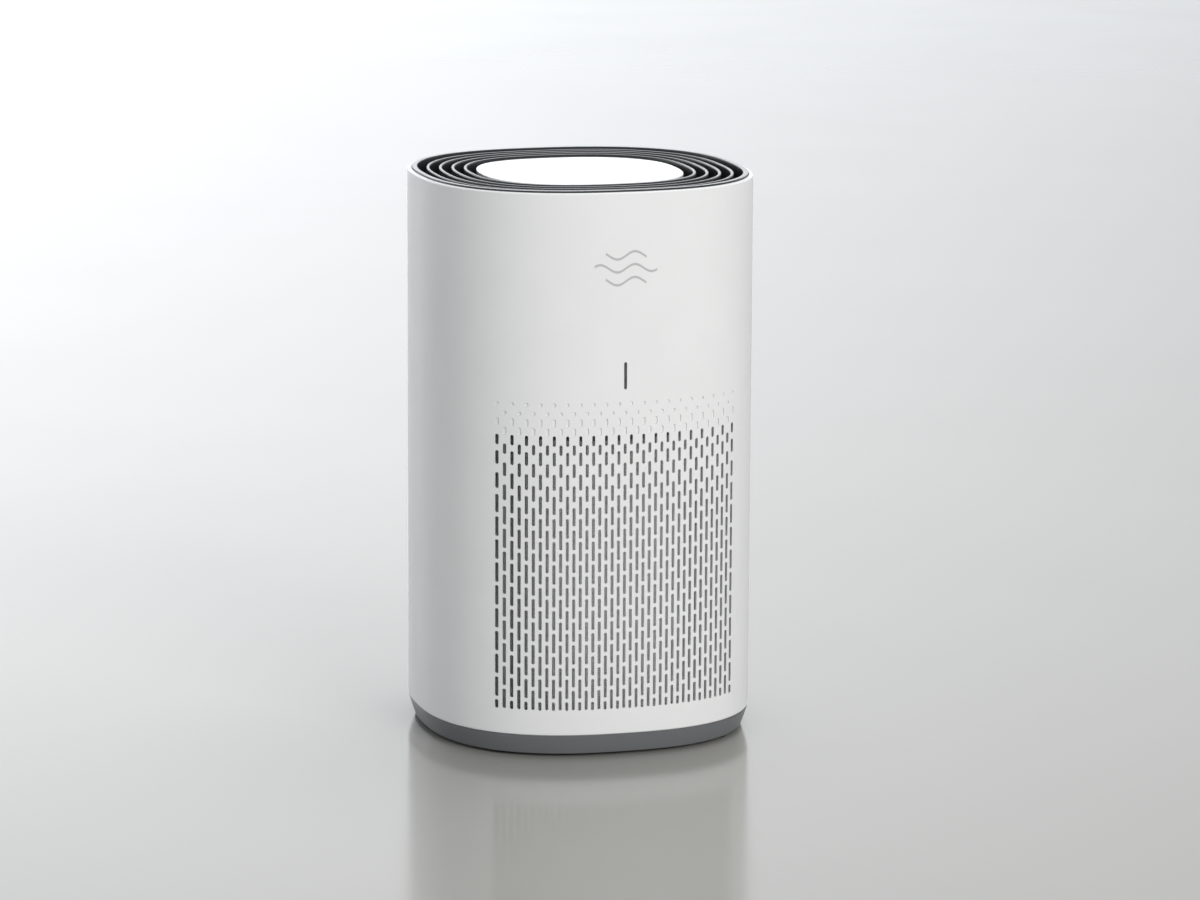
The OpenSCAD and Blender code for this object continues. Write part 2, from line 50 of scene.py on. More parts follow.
scene = bpy.context.scene

MM = 0.001

# ---------------------------------------------------------------- sizes of the shell
SHELL_LOW, SHELL_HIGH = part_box("outer_shell")
HALF = SHELL_HIGH.x
WALL = 2.6 * MM
INNER = HALF - WALL
SQUARENESS = 2.46
SHELL_FILLET = 0.9 * MM
FILLET_STEPS = 4
SIDE_STEPS = 48

# Rows of slots are counted downwards from the top. Even rows have slots in the even columns, and
# odd rows in the odd ones. The top rows fade out: they are closer and shorter, and the first ones
# are only dimples, which the rear wall doesn't have.
COLUMNS = 39
COLUMN_PITCH = 4 * MM
LAST_ROW = 28
FADE_ROWS = 6
BLIND_ROWS = 4
FADE_TOP = 223.5 * MM
FADE_STEP = 5.65 * MM
SLOT_STEP = 7.27 * MM
FIELD_BOTTOM = 30.4 * MM
SHORT_SLOTS = [2.2 * MM, 4.6 * MM, 6.5 * MM, 8.6 * MM, 10 * MM, 11.6 * MM]
FULL_SLOT = 12.4 * MM
SLOT_HALF = 0.87 * MM
LIP = 0.18 * MM
FLARE = 0.55 * MM
BLIND_DEPTH = 0.7 * MM
BLIND_EDGE = 0.2 * MM
REAR_START = COLUMNS + SIDE_STEPS

LENS_LOW, LENS_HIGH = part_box("indicator_lens")
INDICATOR_Z = (LENS_LOW.z + LENS_HIGH.z) / 2
INDICATOR_LEN = 17 * MM
INDICATOR_CELL = 12 * MM
UPPER_STEPS = 4

# ---------------------------------------------------------------- sizes of the top
GRILLE_LOW, GRILLE_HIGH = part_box("top_grille")
PANEL_LOW, PANEL_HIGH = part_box("control_panel")
RIM_HALF = GRILLE_HIGH.x
TOP_Z = GRILLE_HIGH.z
PANEL_HALF = PANEL_HIGH.x
RIM_W = 3.1 * MM
RINGS = 4
RING_W = 2 * MM
RING_TOP = TOP_Z - 0.7 * MM
RING_PITCH = (RIM_HALF - RIM_W - PANEL_HALF + RING_W) / (RINGS + 1)
TRAY_HALF = PANEL_HALF - 0.2 * MM
TRAY_WALL = 2.8 * MM
TRAY_FLOOR = 2 * MM
TRAY_HOLE_R = 8 * MM
RIBS = 12
RIB_HALF = 1 * MM
RIB_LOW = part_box("control_board")[0].z - TRAY_FLOOR
RIB_HIGH = RIB_LOW + 5 * MM
TOP_STEPS = 288

# ---------------------------------------------------------------- sizes of the plinth and its feet
BASE_LOW, BASE_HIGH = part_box("base")
PLINTH_LOW = BASE_LOW.z
PLINTH_HIGH = SHELL_LOW.z
PLINTH_IN = 4.1 * MM
PLINTH_EDGE = 0.8 * MM
PLINTH_FLOOR = 4 * MM
PLINTH_STEPS = 360
REVEAL = 1 * MM
UPSTAND_HALF = 102.9 * MM
UPSTAND_WALL = 2.4 * MM
OPENING_R = 86 * MM
OPENING_EDGE = 0.4 * MM
COLLAR_WALL = 3 * MM
COLLAR_TOP = 16 * MM
BORE_R = 5.2 * MM
BORE_START = Vector((0, 89.6 * MM, 8.1 * MM))
BORE_LENGTH = 30 * MM
# The catches of the cover: the first one's place and the reach of each are in degrees.
LUGS = 3
LUG_FIRST = 20
LUG_REACH = 16
LUG_LOW = 8.7 * MM
LUG_HIGH = 11 * MM
LUG_DEPTH = 3 * MM
LUG_EDGE = 0.3 * MM
FOOT_AT = 70.5 * MM
FOOT_R = 6.95 * MM
FOOT_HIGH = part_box("feet")[1].z

# ---------------------------------------------------------------- sizes of what is printed or woven
# The mark's lines are a height and a half-length each, and MARK_TURN is their wave's radians per metre.
MARK_LINES = ((316 * MM, 13 * MM), (308 * MM, 20 * MM), (300 * MM, 13 * MM))
MARK_SWING = 2.4 * MM
MARK_TURN = 285.0
MARK_HALF_LINE = 0.75 * MM
SYMBOLS_X = (-32 * MM, -16 * MM, 0.0, 16 * MM, 32 * MM)
SYMBOL_R = 3.2 * MM
SYMBOL_HALF_LINE = 0.3 * MM
NET_R = 79 * MM


# ---------------------------------------------------------------- plan outline
def plan_point(angle, half):
    """A point of the rounded-square outline of the given half-width."""
    c, s = math.cos(angle), math.sin(angle)
    r = half * (abs(c) ** SQUARENESS + abs(s) ** SQUARENESS) ** (-1 / SQUARENESS)
    return r * c, r * s


def plan_normal(x, y):
    """The outline's outward direction at one of its points."""
    nx = math.copysign(abs(x) ** (SQUARENESS - 1), x)
    ny = math.copysign(abs(y) ** (SQUARENESS - 1), y)
    size = math.hypot(nx, ny)
    return nx / size, ny / size


def outward(x, y, share=1.0, up=0.0):
    """A normal with the given share of the outline's outward direction, and of up."""
    nx, ny = plan_normal(x, y)
    return Vector((nx * share, ny * share, up))


def wall_depth(x, half):
    """How far the outline of the given half-width lies from the centre plane at x."""
    return half * (1 - (abs(x) / half) ** SQUARENESS) ** (1 / SQUARENESS)


def inner_x(x):
    """Where a way through the front or rear wall, square to its face, comes out inside."""
    nx, _ = plan_normal(x, wall_depth(x, HALF))
    return x - nx * WALL


# ---------------------------------------------------------------- mesh helpers
def new_object(name, vertices, faces, slot, node=None, normals=None, sharp=None):
    """Makes a piece, rides it on the housing and gives it its slot's material."""
    mesh = bpy.data.meshes.new(name)
    mesh.from_pydata(vertices, [], faces)
    mesh.validate()
    mesh.polygons.foreach_set("use_smooth", [True] * len(mesh.polygons))
    if normals:
        mesh.normals_split_custom_set_from_vertices(normals)
    if sharp:
        mesh.set_sharp_from_angle(angle=math.radians(sharp))
    mesh.materials.append(MATERIALS[slot])
    piece = bpy.data.objects.new(name, mesh)
    scene.collection.objects.link(piece)
    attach(piece, "housing")
    if node:
        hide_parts(node)
    return piece


class Surface:
    """Collects vertices with their normals, and faces."""

    def __init__(self):
        self.points = []
        self.normals = []
        self.faces = []

    def add(self, point, normal):
        self.points.append(point)
        self.normals.append(normal)
        return len(self.points) - 1

    def face(self, corners, flip=False):
        self.faces.append(tuple(reversed(corners)) if flip else tuple(corners))

    def band(self, low, high, flip=False):
        """Joins two closed loops of the same length."""
        count = len(low)
        for i in range(count):
            j = (i + 1) % count
            self.face((low[i], low[j], high[j], high[i]), flip)


def loft(profile, steps, closed=True):
    """Sweeps a profile of (kind, half, z) round the axis: kind is plan or round."""
    points, faces = [], []
    for kind, half, z in profile:
        for i in range(steps):
            angle = 2 * math.pi * i / steps
            if kind == "plan":
                x, y = plan_point(angle, half)
            else:
                x, y = half * math.cos(angle), half * math.sin(angle)
            points.append((x, y, z))
    rows = len(profile)
    for row in range(rows if closed else rows - 1):
        a, b = row * steps, (row + 1) % rows * steps
        for i in range(steps):
            j = (i + 1) % steps
            faces.append((a + i, a + j, b + j, b + i))
    return points, faces


def capped_loft(profile, steps):
    """An open loft whose first and last rows are closed with flat faces."""
    points, faces = loft(profile, steps, closed=False)
    last = (len(profile) - 1) * steps
    faces.append(tuple(reversed(range(steps))))
    faces.append(tuple(range(last, last + steps)))
    return points, faces


def stacked(sections):
    """Joins sections of the same number of points, one after the other, into a closed bar."""
    size = len(sections[0])
    last = (len(sections) - 1) * size
    faces = []
    for start in range(0, last, size):
        for i in range(size):
            j = (i + 1) % size
            faces.append((start + i, start + j, start + j + size, start + i + size))
    faces += [tuple(reversed(range(size))), tuple(range(last, last + size))]
    return [point for section in sections for point in section], faces


def arc(kind, centre_half, centre_z, radius, start, end, count=4):
    """Points of a rounded profile edge, from one angle to another, in degrees."""
    found = []
    for i in range(count + 1):
        angle = math.radians(start + (end - start) * i / count)
        half = centre_half + radius * math.cos(angle)
        found.append((kind, half, centre_z + radius * math.sin(angle)))
    return found


def join_parts(parts):
    """Several parts, each of points and faces, as one."""
    points, faces = [], []
    for part_points, part_faces in parts:
        offset = len(points)
        points += part_points
        faces += [tuple(i + offset for i in f) for f in part_faces]
    return points, faces


def moved(part, offset):
    points, faces = part
    dx, dy, dz = offset
    return [(x + dx, y + dy, z + dz) for x, y, z in points], faces


def turned(part, angle):
    """A part turned about the upright axis."""
    points, faces = part
    c, s = math.cos(angle), math.sin(angle)
    return [(x * c - y * s, x * s + y * c, z) for x, y, z in points], faces


# ---------------------------------------------------------------- shader helpers
def shader(name, base, roughness):
    """A new material with its Principled shader's colour and roughness set on its own sockets."""
    material = bpy.data.materials.new(name)
    material.use_nodes = True
    tree = material.node_tree
    principled = tree.nodes["Principled BSDF"]
    principled.inputs["Base Color"].default_value = (*base, 1)
    principled.inputs["Roughness"].default_value = roughness
    return material, tree, principled


def coat(principled, weight, roughness):
    principled.inputs["Coat Weight"].default_value = weight
    principled.inputs["Coat Roughness"].default_value = roughness


def link(tree, source, target):
    tree.links.new(source, target)


def coordinates(tree, scale=(1, 1, 1)):
    """The object's own coordinates, stretched."""
    source = tree.nodes.new("ShaderNodeTexCoord")
    mapping = tree.nodes.new("ShaderNodeMapping")
    mapping.inputs["Scale"].default_value = scale
    link(tree, source.outputs["Object"], mapping.inputs["Vector"])
    return mapping.outputs["Vector"]


def xyz(tree, kind="Object"):
    """The X, Y and Z of one kind of texture coordinate."""
    source = tree.nodes.new("ShaderNodeTexCoord")
    parts = tree.nodes.new("ShaderNodeSeparateXYZ")
    link(tree, source.outputs[kind], parts.inputs["Vector"])
    return parts.outputs["X"], parts.outputs["Y"], parts.outputs["Z"]


def noise(tree, scale, detail=2.0, stretch=(1, 1, 1)):
    node = tree.nodes.new("ShaderNodeTexNoise")
    node.inputs["Scale"].default_value = scale
    node.inputs["Detail"].default_value = detail
    link(tree, coordinates(tree, stretch), node.inputs["Vector"])
    return node.outputs["Fac"]


def cells(tree, scale):
    """A cell pattern, and how far a point is from the middle of its cell."""
    node = tree.nodes.new("ShaderNodeTexVoronoi")
    node.inputs["Scale"].default_value = scale
    link(tree, coordinates(tree), node.inputs["Vector"])
    return node, node.outputs["Distance"]


def ramp(tree, factor, low, high, low_at=0.35, high_at=0.65):
    """Turns a factor into a colour between two, or into a grey between two numbers."""
    node = tree.nodes.new("ShaderNodeValToRGB")
    for element, at, value in zip(node.color_ramp.elements, (low_at, high_at), (low, high)):
        element.position = at
        element.color = (*value, 1) if isinstance(value, tuple) else (value, value, value, 1)
    link(tree, factor, node.inputs["Fac"])
    return node.outputs["Color"]


def bump(tree, principled, height, distance):
    node = tree.nodes.new("ShaderNodeBump")
    node.inputs["Distance"].default_value = distance
    node.inputs["Strength"].default_value = 1.0
    link(tree, height, node.inputs["Height"])
    link(tree, node.outputs["Normal"], principled.inputs["Normal"])


def maths(tree, operation, *values):
    node = tree.nodes.new("ShaderNodeMath")
    node.operation = operation
    for socket, value in zip(node.inputs, values):
        if isinstance(value, (int, float)):
            socket.default_value = value
        else:
            link(tree, value, socket)
    return node.outputs[0]


def distance_from(tree, value, target):
    return maths(tree, "ABSOLUTE", maths(tree, "SUBTRACT", value, target))


def any_of(tree, masks):
    """Where at least one of the masks is 1."""
    found = masks[0]
    for mask in masks[1:]:
        found = maths(tree, "MAXIMUM", found, mask)
    return found


def mixed(tree, factor, first, second):
    """One colour over another, by a factor."""
    node = tree.nodes.new("ShaderNodeMix")
    node.data_type = "RGBA"
    link(tree, factor, node.inputs["Factor"])
    for socket, value in ((node.inputs[6], first), (node.inputs[7], second)):
        if isinstance(value, tuple):
            socket.default_value = (*value, 1)
        else:
            link(tree, value, socket)
    return node.outputs[2]


def painted(tree, principled, factor, colour):
    """Puts a colour over what the shader's own colour was, by a factor."""
    target = principled.inputs["Base Color"]
    link(tree, mixed(tree, factor, target.links[0].from_socket, colour), target)


def scaled(colour, share):
    return tuple(channel * share for channel in colour)


# ---------------------------------------------------------------- materials
def moulded_shader(name, base, roughness, grain=900.0, depth=0.02 * MM):
    """Moulded plastic: a fine grain, and a faint unevenness of tone and gloss."""
    material, tree, principled = shader(name, base, roughness)
    tone = noise(tree, 35.0, 3.0)
    link(tree, ramp(tree, tone, scaled(base, 0.985), base), principled.inputs["Base Color"])
    gloss = ramp(tree, noise(tree, 120.0, 3.0), roughness * 0.94, min(roughness * 1.06, 1.0))
    link(tree, gloss, principled.inputs["Roughness"])
    bump(tree, principled, noise(tree, grain, 1.0), depth)
    return material, tree, principled


def moulded(name, base, roughness, grain=900.0, depth=0.02 * MM):
    material, _, _ = moulded_shader(name, base, roughness, grain, depth)
    return material


def rubber(name, base):
    return moulded(name, base, 0.75, grain=1800.0, depth=0.05 * MM)


def metal(name, base, roughness, stretch=(1, 1, 1)):
    """Machined or rolled metal, with fine marks along its turning."""
    material, tree, principled = shader(name, base, roughness)
    principled.inputs["Metallic"].default_value = 1.0
    marks = noise(tree, 400.0, 4.0, stretch)
    link(tree, ramp(tree, marks, scaled(base, 0.85), base), principled.inputs["Base Color"])
    link(tree, ramp(tree, marks, roughness * 0.75, roughness * 1.3), principled.inputs["Roughness"])
    bump(tree, principled, marks, 0.01 * MM)
    return material


def board(name, base):
    """A circuit board: solder mask with faint copper runs under it."""
    material, tree, principled = shader(name, base, 0.35)
    runs, distance = cells(tree, 260.0)
    runs.distance = "CHEBYCHEV"
    runs.feature = "F1"
    shade = ramp(tree, distance, scaled(base, 1.7), base, 0.38, 0.42)
    link(tree, shade, principled.inputs["Base Color"])
    bump(tree, principled, distance, 0.03 * MM)
    return material


def foam(name, base):
    """Open-cell foam: a soft body whose pores are dimples, darkened with painted shade."""
    material, tree, principled = shader(name, base, 0.95)
    _, distance = cells(tree, 900.0)
    # Painted shade: the middles of the pores are darkened to a third of the foam's colour.
    shade = ramp(tree, distance, scaled(base, 0.35), base, 0.1, 0.5)
    link(tree, shade, principled.inputs["Base Color"])
    bump(tree, principled, distance, 0.3 * MM)
    return material


def net(name, base, pitch, open_colour):
    """A woven net, as it lies round the filter: threads along the height and round it."""
    material, tree, principled = shader(name, base, 0.7)
    x, y, z = xyz(tree)
    around = maths(tree, "ARCTAN2", y, x)
    upright = maths(tree, "COSINE", maths(tree, "MULTIPLY", around, NET_R * 2 * math.pi / pitch))
    level = maths(tree, "COSINE", maths(tree, "MULTIPLY", z, 2 * math.pi / pitch))
    threads = maths(tree, "MAXIMUM", upright, level)
    shade = ramp(tree, threads, open_colour, base, 0.2, 0.75)
    link(tree, shade, principled.inputs["Base Color"])
    bump(tree, principled, threads, 0.3 * MM)
    return material


def wavy_mark(tree):
    """Where the three wavy lines of the front's mark are: 1 on a line, 0 off it."""
    x, y, z = xyz(tree)
    wave = maths(tree, "MULTIPLY", maths(tree, "SINE", maths(tree, "MULTIPLY", x, MARK_TURN)), MARK_SWING)
    lines = []
    for height, reach in MARK_LINES:
        off = distance_from(tree, maths(tree, "SUBTRACT", z, height), wave)
        over = maths(tree, "SUBTRACT", off, MARK_HALF_LINE)
        past = maths(tree, "SUBTRACT", maths(tree, "ABSOLUTE", x), reach)
        lines.append(maths(tree, "LESS_THAN", maths(tree, "MAXIMUM", over, past), 0.0))
    front = maths(tree, "LESS_THAN", y, 0.0)
    return maths(tree, "MULTIPLY", any_of(tree, lines), front)


def shell_material():
    """Satin white plastic, with the grey mark printed on its front."""
    base = (0.86, 0.865, 0.87)
    material, tree, principled = moulded_shader("shell_white", base, 0.36, 1400.0, 0.012 * MM)
    coat(principled, 0.08, 0.25)
    painted(tree, principled, wavy_mark(tree), (0.52, 0.525, 0.53))
    return material


def grille_material():
    """Dark satin plastic, with a painted highlight: a lighter grey painted on its upward-facing faces."""
    dark = (0.024, 0.025, 0.027)
    material, tree, principled = moulded_shader("grille_grey", dark, 0.3, 700.0, 0.01 * MM)
    _, _, up = xyz(tree, "Normal")
    # Painted highlight: a lighter grey mixed into the colour wherever the face points up.
    painted(tree, principled, ramp(tree, up, 0.0, 1.0, 0.7, 0.92), (0.36, 0.365, 0.375))
    return material


def ring_symbols(tree):
    """Where the panel's ring symbols are: 1 on a ring, 0 off it."""
    x, y, _ = xyz(tree)
    y_squared = maths(tree, "MULTIPLY", y, y)
    rings = []
    for symbol_x in SYMBOLS_X:
        dx = maths(tree, "SUBTRACT", x, symbol_x)
        radius = maths(tree, "SQRT", maths(tree, "ADD", maths(tree, "MULTIPLY", dx, dx), y_squared))
        rings.append(maths(tree, "LESS_THAN", distance_from(tree, radius, SYMBOL_R), SYMBOL_HALF_LINE))
    return any_of(tree, rings)


def panel_material():
    """Glossy white touch panel with a few faint ring symbols."""
    base = (0.88, 0.885, 0.89)
    material, tree, principled = shader("panel_white", base, 0.12)
    coat(principled, 0.5, 0.05)
    tone = ramp(tree, noise(tree, 30.0, 2.0), scaled(base, 0.985), base)
    link(tree, tone, principled.inputs["Base Color"])
    painted(tree, principled, ring_symbols(tree), (0.66, 0.67, 0.68))
    link(tree, ramp(tree, noise(tree, 60.0, 3.0), 0.09, 0.15), principled.inputs["Roughness"])
    return material


def lens_material():
    """Smoked clear plastic, nearly black."""
    material, tree, principled = shader("lens_smoke", (0.05, 0.052, 0.055), 0.18)
    principled.inputs["Coat Weight"].default_value = 0.4
    tone = ramp(tree, noise(tree, 300.0, 1.0), (0.04, 0.042, 0.045), (0.075, 0.078, 0.082))
    link(tree, tone, principled.inputs["Base Color"])
    return material


def paper_material():
    """Pleated filter paper, its fibres along the pleats."""
    material, tree, principled = shader("filter_paper", (0.72, 0.69, 0.6), 0.95)
    fibres = noise(tree, 500.0, 6.0, (1, 1, 0.3))
    tone = ramp(tree, fibres, (0.6, 0.57, 0.49), (0.78, 0.75, 0.67))
    link(tree, tone, principled.inputs["Base Color"])
    bump(tree, principled, fibres, 0.2 * MM)
    return material


def felt_material():
    """Black felt full of carbon grains."""
    material, tree, principled = shader("carbon_felt", (0.02, 0.02, 0.022), 0.95)
    grains = noise(tree, 900.0, 6.0)
    tone = ramp(tree, grains, (0.008, 0.008, 0.009), (0.045, 0.045, 0.048))
    link(tree, tone, principled.inputs["Base Color"])
    bump(tree, principled, grains, 0.4 * MM)
    return material


MATERIALS = {
    "shell_white": shell_material(),
    "plinth_grey": moulded("plinth_grey", (0.155, 0.16, 0.169), 0.32, grain=1100.0),
    "foot_rubber": rubber("foot_rubber", (0.02, 0.02, 0.021)),
    "cover_grey": moulded("cover_grey", (0.085, 0.088, 0.094), 0.42, grain=600.0, depth=0.04 * MM),
    "seal_foam": foam("seal_foam", (0.12, 0.12, 0.125)),
    "filter_cap": moulded("filter_cap", (0.2, 0.2, 0.21), 0.6),
    "prefilter_net": net("prefilter_net", (0.92, 0.925, 0.93), 1.3 * MM, (0.72, 0.725, 0.73)),
    "filter_paper": paper_material(),
    "carbon_felt": felt_material(),
    "tab_ribbon": net("tab_ribbon", (0.55, 0.56, 0.6), 0.5 * MM, (0.3, 0.31, 0.34)),
    "inner_white": moulded("inner_white", (0.8, 0.8, 0.805), 0.5),
    "post_grey": moulded("post_grey", (0.6, 0.6, 0.61), 0.5),
    "impeller_plastic": moulded("impeller_plastic", (0.06, 0.062, 0.066), 0.4),
    "shaft_steel": metal("shaft_steel", (0.6, 0.6, 0.62), 0.22, (1, 1, 0.05)),
    "rotor_magnet": metal("rotor_magnet", (0.15, 0.15, 0.16), 0.45),
    "stator_copper": metal("stator_copper", (0.72, 0.36, 0.18), 0.35, (1, 1, 0.1)),
    "can_steel": metal("can_steel", (0.5, 0.5, 0.51), 0.35, (0.1, 0.1, 1)),
    "bearing_steel": metal("bearing_steel", (0.62, 0.62, 0.64), 0.2),
    "grommet_rubber": rubber("grommet_rubber", (0.018, 0.018, 0.018)),
    "screw_steel": metal("screw_steel", (0.5, 0.5, 0.51), 0.3),
    "board_green": board("board_green", (0.02, 0.13, 0.06)),
    "lead_black": rubber("lead_black", (0.015, 0.015, 0.016)),
    "grille_grey": grille_material(),
    "panel_white": panel_material(),
    "spring_brass": metal("spring_brass", (0.75, 0.58, 0.28), 0.3),
    "lens_smoke": lens_material(),
    "sensor_black": moulded("sensor_black", (0.02, 0.02, 0.021), 0.45),
    "inlet_black": moulded("inlet_black", (0.018, 0.018, 0.019), 0.4),
    "plunger_white": moulded("plunger_white", (0.7, 0.7, 0.69), 0.4),
}

for entry in frame["record"]["subparts"]:
    slots = nodes[entry["node"]].data.materials
    slots.clear()
    slots.append(MATERIALS[entry["material_slot"]])


# ---------------------------------------------------------------- slots of the outer shell
def row_z(row):
    """Height of the middle of a row of slots."""
    if row < FADE_ROWS:
        return FADE_TOP - row * FADE_STEP
    return FADE_TOP - FADE_ROWS * FADE_STEP - (row - FADE_ROWS) * SLOT_STEP


def slot_span(row):
    """Lowest and highest point of a slot of this row."""
    pair = row // 2
    length = SHORT_SLOTS[pair] if pair < len(SHORT_SLOTS) else FULL_SLOT
    return max(row_z(row) - length / 2, FIELD_BOTTOM), row_z(row) + length / 2


def capsule(x, low, high, half_width, arc_steps=5):
    """A slot's outline with round ends, from its foot at the greater x up and round.

    Each point is (x, z, corner): the number of the cell's corner that it joins, of six."""
    radius = min(half_width, (high - low) / 2)
    outline = [(x + half_width, low + radius, 1), (x + half_width, high - radius, 1)]
    for i in range(1, arc_steps):
        angle = math.pi * i / arc_steps
        corner = 2 if i <= arc_steps / 2 else 3
        point_z = high - radius + radius * math.sin(angle)
        outline.append((x + half_width * math.cos(angle), point_z, corner))
    outline += [(x - half_width, high - radius, 4), (x - half_width, low + radius, 4)]
    for i in range(1, arc_steps):
        angle = math.pi + math.pi * i / arc_steps
        corner = 5 if i <= arc_steps / 2 else 0
        point_z = low + radius + radius * math.sin(angle)
        outline.append((x + half_width * math.cos(angle), point_z, corner))
    return outline


def spine(outline):
    """The middle of a slot's outline, and half the length of its straight sides."""
    xs = [x for x, _, _ in outline]
    zs = [z for _, z, _ in outline]
    straight = max(max(zs) - min(zs) - max(xs) + min(xs), 0)
    return (max(xs) + min(xs)) / 2, (max(zs) + min(zs)) / 2, straight / 2


def grown(outline, amount):
    """The same outline moved outwards, square to itself. Its first two points end a straight side."""
    centre_x, _, _ = spine(outline)
    low, high = outline[0][1], outline[1][1]
    found = []
    for x, z, corner in outline:
        nearest_z = min(max(z, low), high)
        dx, dz = x - centre_x, z - nearest_z
        size = math.hypot(dx, dz)
        found.append((x + dx / size * amount, z + dz / size * amount, corner))
    return found


def ring_at(surface, outline, front, depth=0.0, inward=True, through=False):
    """Adds an outline's points at a depth under the outer face, or on the inner face if through.

    Their normals point into the opening if inward, and otherwise off the outer face."""
    side = -1 if front else 1
    centre_x, centre_z, half_straight = spine(outline)
    found = []
    for outline_x, z, _ in outline:
        x = inner_x(outline_x) if through else outline_x
        y = side * (wall_depth(x, INNER) if through else wall_depth(x, HALF) - depth)
        if inward:
            away_z = z - centre_z
            away_z -= math.copysign(min(abs(away_z), half_straight), away_z)
            normal = Vector((centre_x - outline_x, 0, -away_z)).normalized()
        else:
            normal = outward(x, y)
        found.append(surface.add((x, y, z), normal))
    return found


def fill_between(surface, corners, ring, joins, flip):
    """Fills between a cell's corners and the outline inside it, whose points join those corners."""
    for i in range(len(ring)):
        j = (i + 1) % len(ring)
        corner = joins[i]
        while corner != joins[j]:
            after = (corner + 1) % len(corners)
            surface.face((corners[corner], corners[after], ring[i]), flip)
            corner = after
        surface.face((corners[corner], ring[j], ring[i]), flip)


def add_opening(surface, cell_pair, x, low, high, front, blind):
    """A slot through the wall, or a dimple in it. cell_pair is its six corners outside and inside."""
    outline = capsule(x, low, high, SLOT_HALF)
    joins = [corner for _, _, corner in outline]
    lip = ring_at(surface, grown(outline, LIP), front, inward=False)
    edge = ring_at(surface, outline, front, LIP)
    fill_between(surface, cell_pair[0], lip, joins, not front)
    surface.band(lip, edge, not front)
    if blind:
        floor = ring_at(surface, outline, front, BLIND_DEPTH)
        inset = ring_at(surface, grown(outline, -BLIND_EDGE), front, BLIND_DEPTH, inward=False)
        surface.band(edge, floor, not front)
        surface.band(floor, inset, not front)
        surface.face(inset, not front)
        return
    back = ring_at(surface, grown(outline, FLARE), front, through=True)
    surface.band(edge, back, not front)
    fill_between(surface, cell_pair[1], back, joins, front)


def add_indicator(surface, cell_pair):
    """The indicator's slot. cell_pair is its four corners outside and inside."""
    low, high = INDICATOR_Z - INDICATOR_LEN / 2, INDICATOR_Z + INDICATOR_LEN / 2
    outline = capsule(0, low, high, SLOT_HALF)
    four_of_six = (0, 1, 1, 2, 2, 3)
    joins = [four_of_six[corner] for _, _, corner in outline]
    joins[0] = 0
    lip = ring_at(surface, grown(outline, LIP), True, inward=False)
    edge = ring_at(surface, outline, True, LIP)
    back = ring_at(surface, outline, True, through=True)
    fill_between(surface, cell_pair[0], lip, joins, False)
    fill_between(surface, cell_pair[1], back, joins, True)
    surface.band(lip, edge)
    surface.band(edge, back)


# ---------------------------------------------------------------- outer shell
def outline_stations():
    """Where the shell's mesh has its upright lines, as (outer point, inner point).

    They run counter-clockwise from the front wall's left end."""
    xs = [(j - COLUMNS / 2) * COLUMN_PITCH for j in range(COLUMNS + 1)]
    rear = [((x, wall_depth(x, HALF)), (inner_x(x), wall_depth(inner_x(x), INNER))) for x in xs]
    ends = [math.atan2(y, x) for x, y in rear[-1]]
    right = []
    for i in range(1, SIDE_STEPS):
        share = 2 * i / SIDE_STEPS - 1
        right.append((plan_point(ends[0] * share, HALF), plan_point(ends[1] * share, INNER)))
    front = [((ox, -oy), (ix, -iy)) for (ox, oy), (ix, iy) in rear]
    left = [((-ox, -oy), (-ix, -iy)) for (ox, oy), (ix, iy) in right]
    return front + right + rear[::-1] + left


def shell_levels():
    """Heights of the rings of the shell's mesh, and the number of the ring at each row of slots."""
    rows = list(range(LAST_ROW + 1, -2, -1))
    levels = [SHELL_LOW.z + SHELL_FILLET] + [row_z(row) for row in rows]
    low, high = INDICATOR_Z + INDICATOR_CELL, SHELL_HIGH.z - SHELL_FILLET
    levels += [low + (high - low) * i / UPPER_STEPS for i in range(UPPER_STEPS + 1)]
    return levels, {row: i + 1 for i, row in enumerate(rows)}


def add_rings(surface, stations, levels):
    """The points of the shell's outer and inner faces, a ring at each level."""
    outer, inner = [], []
    for z in levels:
        ring_out, ring_in = [], []
        for (ox, oy), (ix, iy) in stations:
            ring_out.append(surface.add((ox, oy, z), outward(ox, oy)))
            ring_in.append(surface.add((ix, iy, z), outward(ix, iy, -1)))
        outer.append(ring_out)
        inner.append(ring_in)
    return outer, inner


def cell_corners(rings, left, low, high):
    """The corners of a cell between two upright lines: up one line and back down the other."""
    right = left + 1
    levels = range(low, high + 1)
    return [rings[i][right] for i in levels] + [rings[i][left] for i in reversed(levels)]


def add_slots(surface, outer, inner, level_of, front):
    """All the slots of one wall. Returns the plain faces that they take the place of."""
    taken = set()
    for column in range(COLUMNS):
        x = (column - (COLUMNS - 1) / 2) * COLUMN_PITCH
        left = column if front else REAR_START + COLUMNS - 1 - column
        first_row = 0 if front else BLIND_ROWS
        for row in range(first_row + column % 2, LAST_ROW + 1, 2):
            low = level_of[row + 1]
            cell_pair = [cell_corners(rings, left, low, low + 2) for rings in (outer, inner)]
            if not front:
                cell_pair = [cell[::-1] for cell in cell_pair]
            blind = row < BLIND_ROWS
            add_opening(surface, cell_pair, x, *slot_span(row), front, blind)
            sides = ("out",) if blind else ("out", "in")
            taken.update((left, level, side) for level in (low, low + 1) for side in sides)
    return taken


def add_plain_faces(surface, outer, inner, taken):
    """The shell's faces outside and inside, but for those that openings take the place of."""
    count = len(outer[0])
    for level in range(len(outer) - 1):
        for left in range(count):
            right = (left + 1) % count
            for rings, side, flip in ((outer, "out", False), (inner, "in", True)):
                if (left, level, side) not in taken:
                    surface.face((rings[level][left], rings[level][right],
                                  rings[level + 1][right], rings[level + 1][left]), flip)


